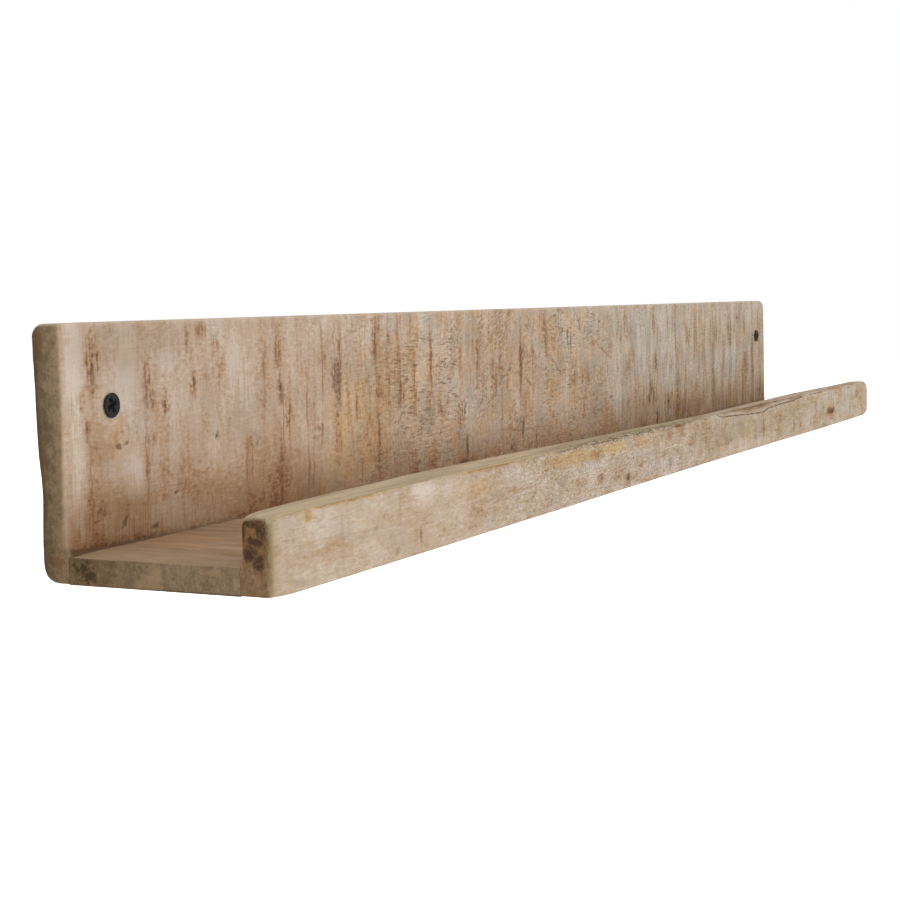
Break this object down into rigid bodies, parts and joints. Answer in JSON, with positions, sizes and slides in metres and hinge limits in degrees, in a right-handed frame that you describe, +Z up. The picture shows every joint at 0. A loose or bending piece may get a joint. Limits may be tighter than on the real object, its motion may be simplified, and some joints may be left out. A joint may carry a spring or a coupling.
{
  "type": "picture ledge",
  "caption": "Long L-shaped wall ledge of rustic boards: a back board, a narrow shelf and an upstanding front lip that keeps pictures from sliding off.",
  "frame": {"origin": "on the wall plane (the back board's rear face), midway between the two wall screws", "axes": "+X along the ledge to the right as seen from the room, +Y into the wall, +Z up; the front faces -Y"},
  "size_m": [1.0029, 0.1265, 0.1],
  "materials": {
    "back_board_wood": "rough-sawn reclaimed board, pinkish beige with brown cross-grain saw marks, hand-sanded edges, unvarnished",
    "shelf_board_wood": "rough-sawn reclaimed board, warm brown with faint saw streaks across it",
    "front_lip_wood": "rough-sawn reclaimed strip, pinkish beige, greenish grey weathered top edge",
    "black_screw": "black phosphated steel, satin",
    "zinc_screw": "zinc-plated steel",
    "rusty_nail": "dark bare steel with light rust"
  },
  "bodies": {
    "root": {"back_board": "back_board_wood", "shelf_board": "shelf_board_wood", "front_lip": "front_lip_wood", "wall_screw_left": "black_screw", "wall_screw_right": "black_screw", "shelf_screw_1": "zinc_screw", "shelf_screw_2": "zinc_screw", "shelf_screw_3": "zinc_screw", "shelf_screw_4": "zinc_screw", "lip_nail_1": "rusty_nail", "lip_nail_2": "rusty_nail", "lip_nail_3": "rusty_nail", "lip_nail_4": "rusty_nail"}
  },
  "joints": []
}
